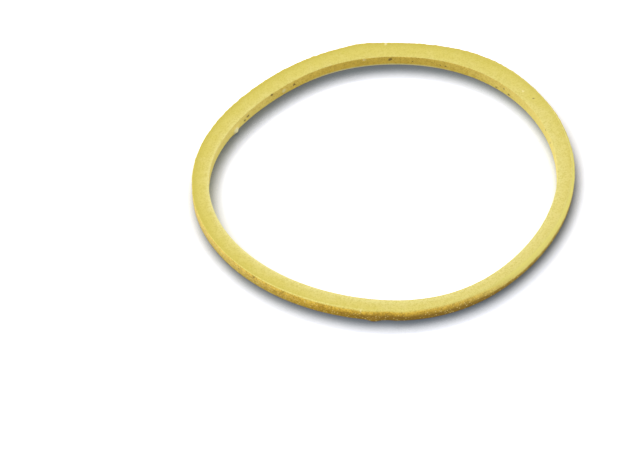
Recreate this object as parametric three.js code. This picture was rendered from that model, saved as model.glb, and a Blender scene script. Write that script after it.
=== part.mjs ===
// A flat rubber band: one closed loop, sliced from an extruded tube, lying slack on a table.
// Millimetres, +Z up. The loop's long way runs along X and its cut underside lies on z = 0.

import * as THREE from 'three';

// Driving dimensions. Angles are in degrees round the loop, from +X towards +Y.
const meanDiameter = 80; // of the middle of the wall, with the loop pulled round
const wallThickness = 4.2; // before the waves of the bore thin or thicken it
const cutWidth = 3; // of the slice, from cut face to cut face
const outerEdgeRadius = 0.4;
const innerEdgeRadius = 0.2;

// The slack loop settles out of round in waves. Each has a count round the loop, a height and a peak.
const ovalWave = { count: 2, height: 2.66, peak: 0 };
const eggWave = { count: 3, height: 0.62, peak: 48 };
const squareWave = { count: 4, height: 0.43, peak: 0 };
const fiveWave = { count: 5, height: 0.075, peak: 30 };
const sixWave = { count: 6, height: 0.11, peak: -16 };
const loopWaves = [ovalWave, eggWave, squareWave, fiveWave, sixWave];

// The tube's bore ran off centre and a little out of round, so the wall is thicker on one side.
const boreOffset = { count: 1, height: 0.46, peak: 82 };
const boreOval = { count: 2, height: 0.26, peak: 34 };
const boreTriangle = { count: 3, height: 0.17, peak: 8 };
const wallWaves = [boreOffset, boreOval, boreTriangle];

// Flaws of the rubber: soft swellings, or hollows where they stand out by less than nothing.
// level is 0 at the underside and 1 at the top. along and up are half lengths on the wall.
const outside = 1;
const inside = -1;
const nub = { side: inside, angle: 145, level: 0.27, standsOut: 0.7, along: 0.9, up: 0.8 };
const lump = { side: outside, angle: 253, level: 0.1, standsOut: 0.42, along: 1.2, up: 0.9 };
const hollow = { side: outside, angle: 257.4, level: 0.6, standsOut: -0.3, along: 1.5, up: 2.4 };
const leftSwelling = { side: outside, angle: 249, level: 1, standsOut: 0.3, along: 2, up: 1.2 };
const rightSwelling = { side: outside, angle: 263.6, level: 1, standsOut: 0.3, along: 2.1, up: 1.4 };
const flaws = [nub, lump, hollow, leftSwelling, rightSwelling];

// Two stretches of the outer wall where the slice is wider from top to bottom.
const backSwelling = { side: outside, angle: 86, level: 0.5, standsOut: 0.55, along: 5.5, up: 6 };
const cornerSwelling = { side: outside, angle: 43, level: 0.5, standsOut: 0.5, along: 12, up: 6 };
const stretches = [backSwelling, cornerSwelling];

// Facets: plain stretches of the loop take long steps, and the flaws take short ones.
const longStep = 2.5;
const shortStep = 0.55;
const flawReach = 2.4; // in half lengths, how far from its middle a flaw is still felt
const edgeSegments = 3;
const topSegments = 2;
const innerWallSegments = 4;
const undersideSegments = 1;
const outerWallSegments = 4;
const edgeLimit = 0.45; // the most of the wall, or of the cut width, that a rounded edge may take

const degree = Math.PI / 180;
const fullTurn = 360;
const meanRadius = meanDiameter / 2;

function waveSum(waves, angle) {
    const heightOf = (wave) => wave.height * Math.cos(wave.count * (angle - wave.peak) * degree);
    return waves.reduce((sum, wave) => sum + heightOf(wave), 0);
}

// How fast the waves rise for each radian round the loop.
function waveSlope(waves, angle) {
    const steepness = (wave) => -wave.count * wave.height;
    const slopeOf = (wave) => steepness(wave) * Math.sin(wave.count * (angle - wave.peak) * degree);
    return waves.reduce((sum, wave) => sum + slopeOf(wave), 0);
}

// The middle of the wall at an angle, with the level direction that points straight out of the loop.
function stationAt(angle) {
    const radius = meanRadius + waveSum(loopWaves, angle);
    const slope = waveSlope(loopWaves, angle);
    const radial = new THREE.Vector2(Math.cos(angle * degree), Math.sin(angle * degree));
    const sideways = new THREE.Vector2(-radial.y, radial.x);
    const middle = radial.clone().multiplyScalar(radius);
    const outward = radial.multiplyScalar(radius).addScaledVector(sideways, -slope).normalize();
    return { angle, middle, outward, thickness: wallThickness + waveSum(wallWaves, angle) };
}

// The distance along the wall from a flaw's middle to an angle, by the shorter way round.
function distanceFrom(flaw, angle) {
    const halfTurn = fullTurn / 2;
    const turn = THREE.MathUtils.euclideanModulo(angle - flaw.angle + halfTurn, fullTurn) - halfTurn;
    return turn * degree * meanRadius;
}

// Each flaw and stretch is a bell: full height at its middle, fading along the loop and up the wall.
// It moves its own side of the section, and less and less towards the wall's middle.
function flawShift(angle, across, up, thickness) {
    return [...flaws, ...stretches].reduce((shift, flaw) => {
        const fade = Math.max(0, (flaw.side * across) / (thickness / 2));
        const alongShare = distanceFrom(flaw, angle) / flaw.along;
        const upShare = (up - flaw.level * cutWidth) / flaw.up;
        const bell = Math.exp(-alongShare * alongShare - upShare * upShare);
        return shift + flaw.side * fade * flaw.standsOut * bell;
    }, 0);
}

// Angles round the loop at which the section is set up.
function stationAngles() {
    const isNear = (flaw, angle) => Math.abs(distanceFrom(flaw, angle)) < flawReach * flaw.along;
    const nearFlaw = (angle) => flaws.some((flaw) => isNear(flaw, angle));
    const angles = [];
    let angle = 0;
    while (angle < fullTurn - shortStep) {
        angles.push(angle);
        angle += nearFlaw(angle + shortStep) ? shortStep : longStep;
    }
    return angles;
}

// The wall cut across: a rectangle with rounded edges, walked anticlockwise from the outer wall.
// x is across the wall, outwards, and y is up from the underside.
function sectionPoints(thickness) {
    const half = thickness / 2;
    const largest = edgeLimit * Math.min(thickness, cutWidth);
    const outer = Math.min(outerEdgeRadius, largest);
    const inner = Math.min(innerEdgeRadius, largest);
    const rightAngle = Math.PI / 2;
    const edges = [
        { x: half - outer, y: cutWidth - outer, radius: outer, flat: topSegments },
        { x: inner - half, y: cutWidth - inner, radius: inner, flat: innerWallSegments },
        { x: inner - half, y: inner, radius: inner, flat: undersideSegments },
        { x: half - outer, y: outer, radius: outer, flat: outerWallSegments },
    ];
    const arcs = edges.map(({ x, y, radius }, turn) => {
        const arc = new THREE.EllipseCurve(x, y, radius, radius, turn * rightAngle, (turn + 1) * rightAngle);
        return arc.getPoints(edgeSegments);
    });
    return arcs.flatMap((arc, corner) => {
        const next = arcs[(corner + 1) % arcs.length];
        const flat = new THREE.LineCurve(arc.at(-1), next[0]).getPoints(edges[corner].flat);
        return [...arc, ...flat.slice(1, -1)];
    });
}

// The whole ring of one station's section, placed in space.
function placedSection({ angle, middle, outward, thickness }) {
    return sectionPoints(thickness).map(({ x, y }) => {
        const across = x + flawShift(angle, x, y, thickness);
        return new THREE.Vector3(middle.x + outward.x * across, middle.y + outward.y * across, y);
    });
}

// The sections joined to their neighbours all the way round, so that the skin closes on itself.
function loopGeometry() {
    const rings = stationAngles().map((angle) => placedSection(stationAt(angle)));
    const ringSize = rings[0].length;
    const indices = [];
    rings.forEach((ring, station) => {
        const here = station * ringSize;
        const ahead = ((station + 1) % rings.length) * ringSize;
        ring.forEach((point, corner) => {
            const next = (corner + 1) % ringSize;
            indices.push(here + corner, ahead + corner, ahead + next);
            indices.push(here + corner, ahead + next, here + next);
        });
    });
    const geometry = new THREE.BufferGeometry().setFromPoints(rings.flat());
    geometry.setIndex(indices);
    return geometry;
}

// Puts the origin under the middle of the loop's footprint.
function centreFootprint(geometry) {
    geometry.computeBoundingBox();
    const centre = geometry.boundingBox.getCenter(new THREE.Vector3());
    geometry.translate(-centre.x, -centre.y, 0);
    geometry.computeVertexNormals();
    return geometry;
}

const yellowRubber = new THREE.MeshStandardMaterial({ color: 0xe4d370, roughness: 0.8, metalness: 0 });

const band = new THREE.Mesh(centreFootprint(loopGeometry()), yellowRubber);
band.name = 'band';

const group = new THREE.Group();
group.add(band);

export default group;
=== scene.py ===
import math
import bpy
import numpy as np
from mathutils import Matrix, Vector


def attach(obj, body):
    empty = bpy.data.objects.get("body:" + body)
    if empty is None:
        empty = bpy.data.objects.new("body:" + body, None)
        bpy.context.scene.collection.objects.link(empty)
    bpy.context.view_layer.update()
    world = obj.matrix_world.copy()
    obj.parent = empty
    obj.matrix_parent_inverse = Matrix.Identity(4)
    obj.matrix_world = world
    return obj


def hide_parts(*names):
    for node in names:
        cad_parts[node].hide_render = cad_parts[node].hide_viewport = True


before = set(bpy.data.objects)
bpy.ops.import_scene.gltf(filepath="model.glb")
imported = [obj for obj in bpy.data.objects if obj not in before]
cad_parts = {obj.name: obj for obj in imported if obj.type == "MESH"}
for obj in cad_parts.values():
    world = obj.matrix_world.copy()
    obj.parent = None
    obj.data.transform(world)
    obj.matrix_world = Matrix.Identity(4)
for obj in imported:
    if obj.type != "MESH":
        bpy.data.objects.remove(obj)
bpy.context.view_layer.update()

mm = 0.001
print("frame loaded")

# the loop of rubber: its sizes, and the waves in which the slack loop and its wall leave the round
loop = {
    "meanDiameter": 80 * mm,
    "wallThickness": 4.2 * mm,
    "cutWidth": 3 * mm,
    "loopWaves": [  # count round the loop, height, peak in degrees
        (2, 2.66 * mm, 0),
        (3, 0.62 * mm, 48),
        (4, 0.43 * mm, 0),
        (5, 0.075 * mm, 30),
        (6, 0.11 * mm, -16),
    ],
    "wallWaves": [
        (1, 0.46 * mm, 82),
        (2, 0.26 * mm, 34),
        (3, 0.17 * mm, 8),
    ],
    "stations": 1080,
    "arcSteps": 7,  # on each rounded edge
    "topSteps": 16,
    "innerSteps": 18,
    "undersideSteps": 8,
    "outerSteps": 18,
}

# radii of the rounded edges: the knife left the outer top edge crisp behind and soft in front
edges = {
    "outerTopCrisp": 0.15 * mm,
    "outerTopSoft": 1.7 * mm,
    "softMiddle": 298,  # degrees round the loop, where the outer top edge is softest
    "outerBottom": 0.25 * mm,
    "inner": 0.12 * mm,
}

# the side of the wall that a flaw or a spot is on
outerSide, innerSide, cutTop = 1, -1, 0

# soft swellings and hollows: side, degrees round the loop, level up the wall from 0 to 1, how far
# they stand out, half lengths along and up
flaws = {
    "nub": (innerSide, 145, 0.27, 0.75 * mm, 0.95 * mm, 0.85 * mm),
    "lump": (outerSide, 253, 0.10, 0.42 * mm, 1.20 * mm, 0.90 * mm),
    "hollow": (outerSide, 257.4, 0.60, -0.30 * mm, 1.50 * mm, 2.40 * mm),
    "leftSwelling": (outerSide, 249, 1.00, 0.24 * mm, 2.00 * mm, 1.20 * mm),
    "rightSwelling": (outerSide, 263.6, 1.00, 0.24 * mm, 2.10 * mm, 1.40 * mm),
    "backSwelling": (outerSide, 86, 0.50, 0.55 * mm, 5.50 * mm, 6.00 * mm),
    "cornerSwelling": (outerSide, 43, 0.50, 0.50 * mm, 12.0 * mm, 6.00 * mm),
}

# small relief of the skin and of the cut
relief = {
    "seed": 7,
    "sunk": 0.07 * mm,  # of the walls, so that their lumps stay in the CAD part's box
    "wallLumps": 0.012 * mm,
    "wallLumpSize": 0.6 * mm,
    "unevenness": 0.02 * mm,
    "unevenSize": 6 * mm,
    "cutRipple": 0.006 * mm,
    "cutRippleSize": 1.6 * mm,
    "jagDepth": 0.055 * mm,  # teeth of the outer top edge where it is crisp
    "jagSize": 0.7 * mm,
    "spectrumFall": 2.5,  # how fast the waves fade that are shorter than a lump
}


# sum of height times the cosine of count times the angle from the peak
def waveSum(waves, theta):
    return sum(height * np.cos(count * (theta - math.radians(peak)))
               for count, height, peak in waves)


# how fast that sum rises for each radian
def waveSlope(waves, theta):
    return sum(-count * height * np.sin(count * (theta - math.radians(peak)))
               for count, height, peak in waves)


# a raised cosine of the angle from a place round the loop: 1 there and 0 opposite. With more waves
# than one it rises and falls that many times
def raisedCosine(theta, degrees, waves=1):
    return 0.5 + 0.5 * np.cos(waves * (theta - math.radians(degrees)))


# 1 on the soft side of the loop and 0 on the crisp side: a raised cosine squared
def softness(theta):
    return raisedCosine(theta, edges["softMiddle"]) ** 2


# a random field that repeats both ways: white noise times a bell in its spectrum, scaled to a spread
# of 1. A lump is lumpSize long on a surface that is length by girth
def lumpyField(shape, length, girth, lumpSize, seed):
    noise = np.random.default_rng(seed).standard_normal(shape)
    along = np.fft.fftfreq(shape[0])[:, None] * shape[0] * lumpSize / length
    around = np.fft.fftfreq(shape[1])[None, :] * shape[1] * lumpSize / girth
    bell = np.exp(-relief["spectrumFall"] * (along**2 + around**2))
    field = np.fft.ifft2(np.fft.fft2(noise) * bell).real
    return (field - field.mean()) / field.std()


# a rounded edge at every station: its centre plus the radius times cosine and sine, over one quarter
# turn. The last axis holds the place across and up, then the way the skin faces across and up
def roundedEdge(across, up, radius, quarter):
    turn = (quarter + np.linspace(0, 1, loop["arcSteps"] + 1)) * math.pi / 2
    facing = np.stack([np.cos(turn), np.sin(turn)], axis=-1)
    place = np.stack([across, up], axis=-1)[:, None] + radius[:, None, None] * facing
    return np.concatenate([place, np.broadcast_to(facing, place.shape)], axis=-1)


# the straight stretch from one edge's end to the next edge's start, both left out
def flatStretch(edge, following, steps):
    share = np.linspace(0, 1, steps + 1)[1:-1, None]
    return edge[:, -1:] + (following[:, :1] - edge[:, -1:]) * share


# the wall cut across at every station, walked anticlockwise from the outer wall's top edge: each
# rounded edge, and after it the flat to the next one
def wallSections(theta, thickness):
    half, top = thickness / 2, loop["cutWidth"]
    softEdge = edges["outerTopSoft"] - edges["outerTopCrisp"]
    outerTop = edges["outerTopCrisp"] + softEdge * softness(theta)
    outerBottom = np.full_like(theta, edges["outerBottom"])
    inner = np.full_like(theta, edges["inner"])
    corners = [
        roundedEdge(half - outerTop, top - outerTop, outerTop, 0),
        roundedEdge(inner - half, top - inner, inner, 1),
        roundedEdge(inner - half, inner, inner, 2),
        roundedEdge(half - outerBottom, outerBottom, outerBottom, 3),
    ]
    flats = ["topSteps", "innerSteps", "undersideSteps", "outerSteps"]
    pieces = []
    for corner, following, steps in zip(corners, corners[1:] + corners[:1], flats):
        pieces += [corner, flatStretch(corner, following, loop[steps])]
    return np.concatenate(pieces, axis=1)


# signed angle from a place round the loop, by the shorter way
def turnFrom(theta, degrees):
    return (theta - math.radians(degrees) + math.pi) % (2 * math.pi) - math.pi


# 1 in a flaw's middle, falling off as a bell along the loop and up the wall, and fading from its own
# side to the wall's middle
def flawShape(flaw, theta, across, up, thickness):
    side, angle, level, _, along, upward = flaw
    distance = turnFrom(theta, angle) * loop["meanDiameter"] / 2
    alongShare = (distance / along)[:, None]
    upShare = (up - level * loop["cutWidth"]) / upward
    fade = np.clip(side * across / (thickness / 2)[:, None], 0, None)
    return fade * np.exp(-alongShare**2 - upShare**2)


# how far the flaws move the skin across the wall: each one's shape times how far it stands out, all
# added up
def flawShift(theta, across, up, thickness):
    shift = np.zeros_like(across)
    for flaw in flaws.values():
        side, _, _, standsOut, _, _ = flaw
        shift += side * standsOut * flawShape(flaw, theta, across, up, thickness)
    return shift


# 1 in the middle of the outer top edge, as twice the product of its facing across and up
def outerTopLip(facing):
    return 2 * np.clip(facing[..., 0], 0, 1) * np.clip(facing[..., 1], 0, 1)


# relief along the skin's facing: lumps and slow unevenness on the walls, a faint ripple on the cut
# top, and teeth on the outer top edge. The underside stays flat, so that the loop lies true
def skinRelief(theta, facing, length, girth):
    shape = facing.shape[:2]
    wall = facing[..., 0] ** 2
    top = np.clip(facing[..., 1], 0, 1) ** 2
    lip = outerTopLip(facing)
    seed = relief["seed"]
    lumps = lumpyField(shape, length, girth, relief["wallLumpSize"], seed)
    uneven = lumpyField(shape, length, girth, relief["unevenSize"], seed + 1)
    ripple = lumpyField(shape, length, girth, relief["cutRippleSize"], seed + 2)
    teeth = lumpyField((shape[0], 1), length, girth, relief["jagSize"], seed + 3)
    raised = (relief["wallLumps"] * lumps + relief["unevenness"] * uneven - relief["sunk"]) * wall
    raised += relief["cutRipple"] * ripple * top * (1 - lip)
    raised += relief["jagDepth"] * teeth * lip * (1 - softness(theta))[:, None]
    return raised


# the middle of the wall: its places, the level directions that point straight out of the loop, and
# the length of line for each radian
def middleLine(theta):
    radius = loop["meanDiameter"] / 2 + waveSum(loop["loopWaves"], theta)
    slope = waveSlope(loop["loopWaves"], theta)
    radial = np.stack([np.cos(theta), np.sin(theta)], axis=-1)
    sideways = np.stack([-np.sin(theta), np.cos(theta)], axis=-1)
    outward = radius[:, None] * radial - slope[:, None] * sideways
    outward /= np.linalg.norm(outward, axis=-1, keepdims=True)
    return radius[:, None] * radial, outward, np.hypot(radius, slope)


# the whole skin: at each station, the middle line plus the outward direction times the place across
def loopSurface():
    theta = np.linspace(0, 2 * math.pi, loop["stations"], endpoint=False)
    middle, outward, speed = middleLine(theta)
    thickness = loop["wallThickness"] + waveSum(loop["wallWaves"], theta)
    sections = wallSections(theta, thickness)
    across, up, facing = sections[..., 0], sections[..., 1], sections[..., 2:]
    share = across / thickness[:, None] + 0.5
    nub = flawShape(flaws["nub"], theta, across, up, thickness)
    along = np.concatenate([[0], np.cumsum(speed)]) * 2 * math.pi / len(theta)
    steps = np.diff(sections[..., :2], axis=1, prepend=sections[:, -1:, :2])
    around = np.cumsum(np.linalg.norm(steps, axis=-1), axis=1).mean(axis=0)
    across = across + flawShift(theta, across, up, thickness)
    raised = skinRelief(theta, facing, along[-1], around[-1])
    across = across + raised * facing[..., 0]
    height = np.clip(up + raised * facing[..., 1], 0, loop["cutWidth"])
    level = middle[:, None] + across[..., None] * outward[:, None]
    points = np.concatenate([level, height[..., None]], axis=-1)
    return {
        "theta": theta, "points": points, "facing": facing, "along": along, "around": around,
        "up": up[0], "share": share, "nub": nub,
    }


# moves the skin so that its footprint's box is centred on the origin
def centreFootprint(points):
    low, high = points[..., :2].min(axis=(0, 1)), points[..., :2].max(axis=(0, 1))
    points[..., :2] -= (low + high) / 2
    return points


# quads between each station and the next, closed both ways
def closedQuads(stations, girthPoints):
    station, corner = np.meshgrid(np.arange(stations), np.arange(girthPoints), indexing="ij")
    ahead, following = (station + 1) % stations, (corner + 1) % girthPoints
    quads = [station * girthPoints + corner, ahead * girthPoints + corner,
             ahead * girthPoints + following, station * girthPoints + following]
    return np.stack(quads, axis=-1).reshape(-1, 4)


# the map holds millimetres along the loop and around the wall, and runs on past the closing seams
def addSkinMap(mesh, along, around):
    aroundOn = np.append(around, around[-1] + around[0])
    station, corner = np.meshgrid(np.arange(len(along) - 1), np.arange(len(around)), indexing="ij")
    ahead, following = station + 1, corner + 1
    corners = [(station, corner), (ahead, corner), (ahead, following), (station, following)]
    uv = np.stack([np.stack([along[i], aroundOn[j]], axis=-1) for i, j in corners], axis=2)
    layer = mesh.uv_layers.new(name="skin")
    layer.data.foreach_set("uv", (uv / mm).astype(np.float32).ravel())


# where talc, painted sheen and painted edge highlights are strongest, in degrees round the loop
dustAndSheen = {
    "cutMiddle": 325,
    "narrowShare": 0.7,  # of the cut's talc, that gathers round that middle
    "innerMiddle": 250,
    # on the walls talc and a painted sheen, where they face the side lamps
    "wallMiddle": 172,
    "innerEdgeMiddle": 200,
    "innerEdgeWidth": 0.09,  # as a share of the wall's thickness
    "outerEdgeMiddle": 330,
}


# talc along the cut's inner side: a raised cosine round the loop
def innerTalc(theta):
    return raisedCosine(theta, dustAndSheen["innerMiddle"])


# talc left on the skin, from 0 to 1: on the cut a share of a cubed raised cosine round the loop and
# the rest of the inner side's one, and on the walls a raised cosine with two waves, which is talc
# and a painted sheen where the walls face the side lamps
def dustingAndSheen(theta, facing):
    broad = innerTalc(theta)
    narrow = raisedCosine(theta, dustAndSheen["cutMiddle"]) ** 3
    cutDust = broad + (narrow - broad) * dustAndSheen["narrowShare"]
    wallDust = raisedCosine(theta, dustAndSheen["wallMiddle"], waves=2)
    cut = np.clip(facing[..., 1], 0, 1) ** 2
    return cut * cutDust[:, None] + (1 - cut) * wallDust[:, None]


# a painted highlight along the inner edge of the cut at the left: a raised cosine round the loop, to
# the eighth power, times a bell of the share across
def paintedInnerEdgeHighlight(theta, facing, share):
    near = raisedCosine(theta, dustAndSheen["innerEdgeMiddle"]) ** 8
    bell = np.exp(-((share / dustAndSheen["innerEdgeWidth"]) ** 2))
    return near[:, None] * bell * np.clip(facing[..., 1], 0, 1)


# the stretch at the right where the outer edge carries painted light: a raised cosine to the fourth
# power
def outerEdgeLitStretch(theta):
    return raisedCosine(theta, dustAndSheen["outerEdgeMiddle"]) ** 4


# the numbers that each point of the skin carries for the material to read, most of them from 0 to 1
def skinNumbers(skin):
    theta, facing, share = skin["theta"], skin["facing"], skin["share"]
    return {
        "cut": facing[..., 1] ** 2,
        "lip": 2 * np.abs(facing[..., 0]) * np.clip(facing[..., 1], 0, 1),
        "inside": np.clip(-facing[..., 0], 0, 1),
        "share": share,
        "dustAndSheen": dustingAndSheen(theta, facing),
        "innerEdgeHighlight": paintedInnerEdgeHighlight(theta, facing, share),
        "nub": skin["nub"],
        "soft": softness(theta)[:, None],
        "pale": outerEdgeLitStretch(theta)[:, None],
        "innerTalc": innerTalc(theta)[:, None],
    }


def addNumber(mesh, name, values):
    attribute = mesh.attributes.new(name, "FLOAT", "POINT")
    attribute.data.foreach_set("value", values.astype(np.float32).ravel())


def buildBand(skin):
    points = centreFootprint(skin["points"])
    shape = points.shape[:2]
    mesh = bpy.data.meshes.new("bandSkin")
    mesh.from_pydata(points.reshape(-1, 3).tolist(), [], closedQuads(*shape).tolist())
    addSkinMap(mesh, skin["along"], skin["around"])
    for name, values in skinNumbers(skin).items():
        addNumber(mesh, name, np.broadcast_to(values, shape))
    mesh.shade_smooth()
    mesh.update()
    band = bpy.data.objects.new("bandSkin", mesh)
    bpy.context.scene.collection.objects.link(band)
    return band


# spots of the skin: degrees round the loop, level, size in millimetres. On the walls the level goes
# from 0 at the foot to 1 at the top, and on the cut top from 0 inside to 1 outside
spots = {
    "pits": {
        innerSide: [
            (115.8, 0.50, 0.46), (126.2, 0.84, 0.42), (138.2, 0.52, 0.48), (139.8, 0.30, 0.40),
            (76.4, 0.58, 0.40), (75.8, 0.66, 0.42), (67.5, 0.48, 0.32), (57.2, 0.42, 0.30),
            (55.2, 0.38, 0.32), (34.8, 0.20, 0.27), (31.4, 0.55, 0.28), (29.2, 0.26, 0.34),
            (7.5, 0.80, 0.26), (3.2, 0.45, 0.30),
        ],
        outerSide: [(205.5, 0.55, 0.27), (211.5, 0.80, 0.30)],
        cutTop: [(20.8, 0.50, 0.22)],
    },
    "flecks": {
        innerSide: [(86.0, 0.82, 0.42), (120.4, 0.45, 0.70)],
        cutTop: [(77.5, 0.93, 0.42), (248.8, 0.90, 0.26), (25.2, 0.38, 0.30)],
    },
    "facing": 0.9,  # how squarely the skin faces a side before it can hold that side's spots
}


# how far around the wall a level lies at a station: at the nearest of the points that face its side
def aroundAt(skin, station, side, level):
    facing = skin["facing"][station]
    faced = np.flatnonzero((side * facing[:, 0] if side else facing[:, 1]) > spots["facing"])
    levels = skin["up"] / loop["cutWidth"] if side else skin["share"][station]
    return skin["around"][faced[np.argmin(np.abs(levels[faced] - level))]]


# the spots' places on the skin map, in millimetres along the loop and around the wall, with their
# sizes
def spotPlaces(skin, sides):
    places = []
    for side, rows in sides.items():
        for angle, level, size in rows:
            station = int(angle / 360 * len(skin["theta"]))
            around = aroundAt(skin, station, side, level)
            places.append((skin["along"][station] / mm, around / mm, size))
    return places


# one socket of a node tree, with arithmetic that adds its Math nodes
class Wire:
    def __init__(self, tree, socket):
        self.tree = tree
        self.socket = socket

    def combined(self, operation, first, second):
        node = self.tree.nodes.new("ShaderNodeMath")
        node.operation = operation
        for socket, value in zip(node.inputs, (first, second)):
            if isinstance(value, Wire):
                self.tree.links.new(value.socket, socket)
            else:
                socket.default_value = value
        return Wire(self.tree, node.outputs[0])

    def __add__(self, other):
        return self.combined("ADD", self, other)

    def __radd__(self, other):
        return self.combined("ADD", other, self)

    def __sub__(self, other):
        return self.combined("SUBTRACT", self, other)

    def __rsub__(self, other):
        return self.combined("SUBTRACT", other, self)

    def __mul__(self, other):
        return self.combined("MULTIPLY", self, other)

    def __truediv__(self, other):
        return self.combined("DIVIDE", self, other)

    def smaller(self, other):
        return self.combined("MINIMUM", self, other)

    # the first value where this wire is 0 and the second where it is 1, in a straight line
    def between(self, atZero, atOne):
        return self * (atOne - atZero) + atZero


# a material's nodes: each comes from node(), which takes its type, its settings and its sockets
class Graph:
    def __init__(self, name):
        self.material = bpy.data.materials.new(name)
        self.material.use_nodes = True
        self.tree = self.material.node_tree
        self.tree.nodes.clear()

    def node(self, kind, settings=None, sockets=None, output=0):
        node = self.tree.nodes.new(kind)
        for name, value in (settings or {}).items():
            setattr(node, name, value)
        for name, value in (sockets or {}).items():
            if isinstance(value, Wire):
                self.tree.links.new(value.socket, node.inputs[name])
            else:
                node.inputs[name].default_value = value
        return Wire(self.tree, node.outputs[output])

    def mixed(self, factor, first, second):
        settings = {"data_type": "RGBA", "clamp_factor": True}
        return self.node("ShaderNodeMix", settings, {0: factor, 6: first, 7: second}, 2)

    # 0 below one value, 1 above the other, and smooth between. The values may run downwards
    def step(self, value, low, high):
        settings = {"interpolation_type": "SMOOTHSTEP", "clamp": True}
        sockets = {0: value, 1: low, 2: high, 3: 0.0, 4: 1.0}
        return self.node("ShaderNodeMapRange", settings, sockets)

    # fields times their weights, added up
    def blend(self, fields, weights):
        return sum(fields[name] * weight for name, weight in weights.items())

    def noise(self, coords, size, detail, roughness):
        sockets = {"Vector": coords, "Scale": 1 / size, "Detail": detail, "Roughness": roughness}
        return self.node("ShaderNodeTexNoise", None, sockets)

    def number(self, name):
        return self.node("ShaderNodeAttribute", {"attribute_name": name}, None, "Fac")

    def vector(self, operation, sockets, output=0):
        return self.node("ShaderNodeVectorMath", {"operation": operation}, sockets, output)

    def finish(self, shader):
        output = self.tree.nodes.new("ShaderNodeOutputMaterial")
        self.tree.links.new(shader.socket, output.inputs["Surface"])
        return self.material


# a colour written as screen values from 0 to 255, turned to the linear values that shaders take
def tint(red, green, blue):
    def linear(value):
        value /= 255
        return value / 12.92 if value <= 0.04045 else ((value + 0.055) / 1.055) ** 2.4
    return (linear(red), linear(green), linear(blue), 1.0)


# in the looks below, a field is a number that varies over the skin. A mix holds the weights of fields
# in a sum, and a span the values at which a step is 0 and 1. A strength of two values runs from one
# to the other with what its note names

# the cut faces: pale and dry
cutFace = {
    "bare": tint(225, 209, 102),
    "dustAndSheenPale": tint(232, 217, 128),
    "dustyMix": {"dustAndSheen": 0.6, "patch": 0.7, "mottle": 0.25, "share": -0.3},
    "dustySpan": (0.2, 0.95),
    "inner": tint(244, 232, 150),
    "innerSpan": (0.45, 0.05),
    "innerStrength": (0.1, 0.7),  # with the inner side's talc
    "deep": tint(208, 190, 72),
    "outerSpan": (0.5, 1.0),
    "outerStrength": (0.75, 0.1),  # with the edge's softness
    "grainMix": {"grain": 0.6, "mottle": 0.2, "fine": 0.2},
    "grainSpan": (0.58, 0.34),
    "grainStrength": 0.65,
}


# the cut top and underside: bare rubber under talc in soft patches, paler towards the inner edge and
# deeper towards the outer one, with darker grain
def cutLook(g, fields):
    dustAndSheenPale = g.step(g.blend(fields, cutFace["dustyMix"]), *cutFace["dustySpan"])
    colour = g.mixed(dustAndSheenPale, cutFace["bare"], cutFace["dustAndSheenPale"])
    inner = g.step(fields["share"], *cutFace["innerSpan"])
    inner *= fields["innerTalc"].between(*cutFace["innerStrength"])
    colour = g.mixed(inner, colour, cutFace["inner"])
    outer = g.step(fields["share"], *cutFace["outerSpan"])
    outer *= fields["soft"].between(*cutFace["outerStrength"])
    colour = g.mixed(outer, colour, cutFace["deep"])
    grain = g.step(g.blend(fields, cutFace["grainMix"]), *cutFace["grainSpan"])
    return g.mixed(grain * cutFace["grainStrength"], colour, cutFace["deep"])


# the walls: the moulded skin is deeper in colour than the cut, speckled and under talc, with a
# painted sheen on the sides that face the lamps
walls = {
    # the outer wall's colour is darker and more orange than the inner one's as painted shade: both
    # walls are the same rubber
    "outer": tint(240, 191, 34),
    "inner": tint(240, 206, 78),
    "deep": tint(160, 114, 14),
    "deepMix": {"mottle": 0.4, "grain": 0.6},
    "deepSpan": (0.58, 0.36),
    "deepStrength": (0.8, 0.35),  # from outside to inside
    "dustAndSheenPale": tint(250, 230, 124),
    "dustyMix": {"dustAndSheen": 0.8, "grain": 0.7, "mottle": 0.5},
    "dustySpan": (0.55, 1.45),
    "dustyStrength": (0.62, 1.0),  # from outside to inside
    "pale": tint(246, 236, 176),
    # a painted highlight of bounced light along the inner wall's foot
    "paintedFootLightSpan": (0.6 * mm, 0.15 * mm),
    "paintedFootLightDust": (0.3, 0.05),
    "paintedFootLightStrength": 0.85,
    # painted shade on the outer wall: darker towards its foot, and below the soft edge
    "shade": tint(152, 115, 24),
    "paintedFootShadeSpan": (2.2 * mm, 0.2 * mm),
    "paintedFootShadeStrength": 0.3,
    "shadeMix": {"level": 1.0, "pale": 0.9 * mm, "mottle": 0.6 * mm},
    "shadeSpan": (3.25 * mm, 1.45 * mm),
    "shadeSoft": (0.42, 0.8),
    "shadeStrength": 0.85,
    "nubSpan": (0.1, 0.7),
    "nubStrength": 0.95,
}


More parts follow.
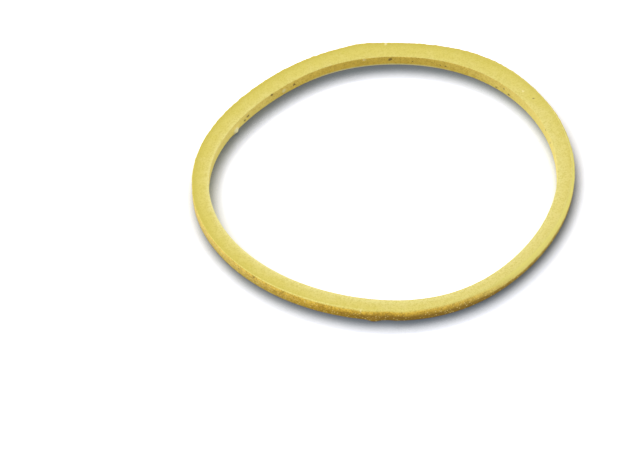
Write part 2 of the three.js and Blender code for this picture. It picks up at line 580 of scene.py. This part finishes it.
# the two walls: mottled skin under talc and painted sheen, with a painted highlight of bounced light
# along the inner foot where that wall faces the front. Outside, painted shade darkens the foot, most
# of all below the soft edge
def wallLook(g, fields):
    inside, outside, level = fields["inside"], fields["outside"], fields["level"]
    colour = g.mixed(inside, walls["outer"], walls["inner"])
    deep = g.step(g.blend(fields, walls["deepMix"]), *walls["deepSpan"])
    colour = g.mixed(deep * inside.between(*walls["deepStrength"]), colour, walls["deep"])
    dustAndSheenPale = g.step(g.blend(fields, walls["dustyMix"]), *walls["dustySpan"])
    colour = g.mixed(dustAndSheenPale * inside.between(*walls["dustyStrength"]), colour, walls["dustAndSheenPale"])
    paintedFootLight = g.step(level, *walls["paintedFootLightSpan"]) * inside
    paintedFootLight *= g.step(fields["dustAndSheen"], *walls["paintedFootLightDust"])
    colour = g.mixed(paintedFootLight * walls["paintedFootLightStrength"], colour, walls["pale"])
    paintedFootShade = g.step(level, *walls["paintedFootShadeSpan"]) * outside
    colour = g.mixed(paintedFootShade * walls["paintedFootShadeStrength"], colour, walls["shade"])
    # painted shade below the soft edge, less of it on the pale stretch
    shaded = g.step(g.blend(fields, walls["shadeMix"]), *walls["shadeSpan"]) * outside
    shaded *= g.step(fields["soft"], *walls["shadeSoft"])
    colour = g.mixed(shaded * walls["shadeStrength"], colour, walls["shade"])
    nub = g.step(fields["nub"], *walls["nubSpan"])
    return g.mixed(nub * walls["nubStrength"], colour, walls["pale"])


# the two top edges of the wall and their painted highlights
topEdges = {
    "rolledHighlight": tint(248, 236, 122),
    "rolledMix": {"lip": 1.0, "mottle": 0.4},
    "rolledSpan": (0.17, 0.7),
    "rolledCut": (0.95, 0.6),
    "rolledSoft": (0.28, 0.7),
    "rolledStrength": (0.05, 0.85),  # with the pale stretch
    # a painted highlight along the fold between the outer wall and the cut top, fainter on the soft
    # side
    "creaseHighlight": tint(242, 230, 136),
    "creaseSpan": (0.1, 0.45),
    "creaseCut": (0.65, 0.85),
    "creaseGrain": (0.35, 0.6),
    "creaseStrength": (0.3, 0.9),  # with that step of the grain
    "creaseSoft": (0.5, 0.8),
    "creaseFade": (1.0, 0.35),  # with that step of the edge's softness
    "innerEdgeHighlight": tint(250, 240, 168),
    "innerEdgeHighlightStrength": 0.8,
}


# the edges: a painted yellow highlight where the outer one turns over on the soft side, strongest on
# the pale stretch, a painted pale highlight along the fold beside the cut top, and a paler painted
# highlight along the inner one at the left
def edgeLook(g, fields, colour):
    lip, cut, soft = fields["lip"], fields["cut"], fields["soft"]
    rolledHighlight = g.step(g.blend(fields, topEdges["rolledMix"]), *topEdges["rolledSpan"])
    rolledHighlight *= g.step(cut, *topEdges["rolledCut"]) * g.step(soft, *topEdges["rolledSoft"])
    rolledHighlight *= fields["pale"].between(*topEdges["rolledStrength"])
    colour = g.mixed(rolledHighlight, colour, topEdges["rolledHighlight"])
    creaseHighlight = g.step(lip, *topEdges["creaseSpan"]) * g.step(cut, *topEdges["creaseCut"])
    grainy = g.step(fields["grain"], *topEdges["creaseGrain"])
    creaseHighlight *= grainy.between(*topEdges["creaseStrength"])
    creaseHighlight *= g.step(soft, *topEdges["creaseSoft"]).between(*topEdges["creaseFade"])
    colour = g.mixed(creaseHighlight, colour, topEdges["creaseHighlight"])
    return g.mixed(fields["innerEdgeHighlight"] * topEdges["innerEdgeHighlightStrength"], colour, topEdges["innerEdgeHighlight"])


# small bright grains on the outer wall: talc specks, with the glint where they catch the light
# painted in
glints = {
    "bright": tint(250, 228, 138),
    "strength": 0.9,
    "size": 0.55 * mm,
    "cellSpan": (0.38, 0.18),
    "mottleSpan": (0.42, 0.52),
    "cutSpan": (0.5, 0.1),
}


# the middles of cells, in the paler mottles, off the cut and off the inner wall
def glintMask(g, fields, place):
    sockets = {"Vector": place, "Scale": 1 / glints["size"]}
    cell = g.node("ShaderNodeTexVoronoi", None, sockets, "Distance")
    mottled = g.step(fields["mottle"], *glints["mottleSpan"])
    bare = g.step(fields["cut"], *glints["cutSpan"]) * fields["outside"]
    return g.step(cell, *glints["cellSpan"]) * mottled * bare


# the looks of the pits, dark with painted shade in their hollows, and of the pale flecks, and the
# wobble of their outlines
spotLook = {
    "paintedPitShade": tint(98, 66, 12),
    "pitStrength": 0.85,
    "fleckPale": tint(248, 236, 168),
    "fleckStrength": 0.75,
    "wobbleScale": 2.2,
    "wobble": (0.9, 0.9, 0),
    "span": (1.25, 0.35),
    "farOff": 10.0,  # in spot sizes, the distance that the search for the nearest spot starts from
}


# 1 on the spots and 0 off them: a step of the nearest spot's distance in spot sizes, on a map that is
# wobbled by noise
def spotMask(g, places):
    skin = g.node("ShaderNodeUVMap", {"uv_map": "skin"})
    sockets = {"Vector": skin, "Scale": spotLook["wobbleScale"]}
    noise = g.node("ShaderNodeTexNoise", None, sockets, "Color")
    centred = g.vector("SUBTRACT", {0: noise, 1: (0.5, 0.5, 0.5)})
    wobbled = g.vector("MULTIPLY_ADD", {0: centred, 1: spotLook["wobble"], 2: skin})
    nearest = spotLook["farOff"]
    for along, around, size in places:
        away = g.vector("DISTANCE", {0: wobbled, 1: (along, around, 0)}, "Value")
        nearest = (away / size).smaller(nearest)
    return g.step(nearest, *spotLook["span"])


# what all the looks of the rubber share: the noises, the numbers read from the skin, where the walls'
# look turns to the cut's, and the finest relief
rubber = {
    "noises": {  # size of a lump, detail, roughness
        "patch": (2.4 * mm, 2, 0.5),
        "mottle": (1.1 * mm, 3, 0.65),
        "grain": (0.36 * mm, 2, 0.6),
        "fine": (0.16 * mm, 1, 0.5),
    },
    "numbers": ["cut", "lip", "inside", "share", "dustAndSheen", "innerEdgeHighlight", "nub", "soft", "innerTalc"],
    "paleSpan": (0.5, 0.9),
    "cutFrom": (0.45, 0.03),  # the cut number at which the cut's look starts, with the pale stretch
    "cutFull": (0.92, 0.5),  # and the one at which it is full
    "roughness": (0.6, 0.8),  # from the walls to the cut
    "bumpMix": {"grain": 0.6, "fine": 0.4},
    "grainHeight": 0.04 * mm,
    "pitDepth": 0.12 * mm,
    "bumpStrength": 0.6,
}


# everything that the looks read: the noises, the skin's own numbers, and the height up the wall
def readFields(g, place):
    fields = {name: g.noise(place, *settings) for name, settings in rubber["noises"].items()}
    for name in rubber["numbers"]:
        fields[name] = g.number(name)
    fields["outside"] = 1 - fields["inside"]
    fields["pale"] = g.step(g.number("pale"), *rubber["paleSpan"])
    fields["level"] = g.node("ShaderNodeSeparateXYZ", None, {0: place}, "Z")
    return fields


# the walls' look turns to the cut's over the rounded edges. The edges, glints and spots lie over both
def rubberMaterial(pits, flecks):
    g = Graph("yellowRubber")
    place = g.node("ShaderNodeTexCoord", None, None, "Object")
    fields = readFields(g, place)
    cut, pale = fields["cut"], fields["pale"]
    bare = g.step(cut, pale.between(*rubber["cutFrom"]), pale.between(*rubber["cutFull"]))
    colour = g.mixed(bare, wallLook(g, fields), cutLook(g, fields))
    colour = edgeLook(g, fields, colour)
    glint = glintMask(g, fields, place)
    colour = g.mixed(glint * glints["strength"], colour, glints["bright"])
    fleck, pit = spotMask(g, flecks), spotMask(g, pits)
    colour = g.mixed(fleck * spotLook["fleckStrength"], colour, spotLook["fleckPale"])
    colour = g.mixed(pit * spotLook["pitStrength"], colour, spotLook["paintedPitShade"])

    height = g.blend(fields, rubber["bumpMix"]) * rubber["grainHeight"] - pit * rubber["pitDepth"]
    sockets = {"Strength": rubber["bumpStrength"], "Distance": 1.0, "Height": height}
    bump = g.node("ShaderNodeBump", None, sockets, "Normal")
    roughness = cut.between(*rubber["roughness"])
    sockets = {"Base Color": colour, "Roughness": roughness, "Normal": bump, "IOR": 1.5}
    return g.finish(g.node("ShaderNodeBsdfPrincipled", None, sockets))


# the floor: white where it is seen in full light, and duller to the light that bounces off it
floorLook = {
    "size": 3.0,
    "seenWhite": (1.71, 1.70, 1.75, 1),
    "bounce": (0.25, 0.25, 0.25, 1),
    "contactReach": 6 * mm,  # how far the band darkens the floor on its shadow side
    "contactDark": (0.21, 0.245, 0.29, 1),
    "litFrom": (-0.02, 0.82, 0.56),  # the way that the floor looks for what shades it
    "opennessSpan": (0.38, 1.15),
    "opennessSamples": 16,
    "seenBy": ["Is Camera Ray", "Is Glossy Ray", "Is Transmission Ray"],
}


# the floor's white, darkened near the band: a smooth step of how open the floor is towards the light
def floorShade(g):
    litFrom = g.node("ShaderNodeCombineXYZ", None, dict(enumerate(floorLook["litFrom"])))
    settings = {"samples": floorLook["opennessSamples"]}
    sockets = {"Distance": floorLook["contactReach"], "Normal": litFrom}
    openness = g.node("ShaderNodeAmbientOcclusion", settings, sockets, "AO")
    lit = g.step(openness, *floorLook["opennessSpan"])
    return g.mixed(lit, floorLook["contactDark"], floorLook["seenWhite"])


def buildFloor():
    half = floorLook["size"] / 2
    corners = [(-half, -half, 0), (half, -half, 0), (half, half, 0), (-half, half, 0)]
    mesh = bpy.data.meshes.new("floor")
    mesh.from_pydata(corners, [], [(0, 1, 2, 3)])
    floor = bpy.data.objects.new("floor", mesh)
    bpy.context.scene.collection.objects.link(floor)
    g = Graph("floorWhite")
    seen = sum(g.node("ShaderNodeLightPath", None, None, ray) for ray in floorLook["seenBy"])
    shown = g.node("ShaderNodeBsdfDiffuse", None, {"Color": floorShade(g)})
    bounced = g.node("ShaderNodeBsdfDiffuse", None, {"Color": floorLook["bounce"]})
    shader = g.node("ShaderNodeMixShader", None, {0: seen, 1: bounced, 2: shown})
    mesh.materials.append(g.finish(shader))


# soft studio light: a broad lamp above and behind, two weaker ones at the sides, of which the right
# one throws no shadow, and an even sky. The angles are in degrees: how far across a lamp looks, where
# round the loop it stands, and how high
lights = {
    "window": {"strength": 1.02, "across": 40, "from": 106, "height": 48, "shadow": True},
    "leftFill": {"strength": 2.0, "across": 60, "from": 183, "height": 24, "shadow": True},
    "rightFill": {"strength": 1.5, "across": 60, "from": -26, "height": 24, "shadow": False},
}
sky = {
    "colour": (0.95, 0.97, 1.0, 1),
    "strength": 0.33,
}


# a lamp infinitely far off, aimed along the line from where it stands to the origin
def buildLamp(name, settings):
    lamp = bpy.data.lights.new(name, "SUN")
    lamp.energy = settings["strength"]
    lamp.angle = math.radians(settings["across"])
    lamp.use_shadow = settings["shadow"]
    turn, height = math.radians(settings["from"]), math.radians(settings["height"])
    level = math.cos(height)
    towards = Vector((math.cos(turn) * level, math.sin(turn) * level, math.sin(height)))
    holder = bpy.data.objects.new(name, lamp)
    holder.rotation_euler = towards.to_track_quat("Z", "Y").to_euler()
    bpy.context.scene.collection.objects.link(holder)


def buildLight():
    for name, settings in lights.items():
        buildLamp(name, settings)
    world = bpy.data.worlds.new("sky")
    world.use_nodes = True
    background = world.node_tree.nodes["Background"]
    background.inputs["Color"].default_value = sky["colour"]
    background.inputs["Strength"].default_value = sky["strength"]
    bpy.context.scene.world = world


# the photograph's view: a long lens that looks down from in front
view = {
    "azimuth": -12,
    "elevation": 54,
    "distance": 0.64,
    "target": (-18.0 * mm, -12.21 * mm, 0),
    "lens": 155.278125,  # in millimetres, as the sensor's width is
    "sensor": 36,
}


def buildCamera():
    turn, rise = math.radians(view["azimuth"]), math.radians(view["elevation"])
    level = math.cos(rise)
    back = Vector((math.sin(turn) * level, -math.cos(turn) * level, math.sin(rise)))
    right = Vector((math.cos(turn), math.sin(turn), 0))
    up = back.cross(right)
    data = bpy.data.cameras.new("camera")
    data.lens = view["lens"]
    data.sensor_width = view["sensor"]
    data.sensor_fit = "HORIZONTAL"
    camera = bpy.data.objects.new("camera", data)
    place = Vector(view["target"]) + back * view["distance"]
    aim = Matrix((right, up, back)).transposed().to_4x4()
    camera.matrix_world = Matrix.Translation(place) @ aim
    bpy.context.scene.collection.objects.link(camera)
    bpy.context.scene.camera = camera


skin = loopSurface()
band = buildBand(skin)
pits, flecks = spotPlaces(skin, spots["pits"]), spotPlaces(skin, spots["flecks"])
band.data.materials.append(rubberMaterial(pits, flecks))
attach(band, "root")
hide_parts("band")
print("band built:", len(band.data.polygons), "faces")

buildFloor()
buildLight()
buildCamera()
bpy.context.scene.view_settings.view_transform = "Standard"
print("floor, light and camera set")
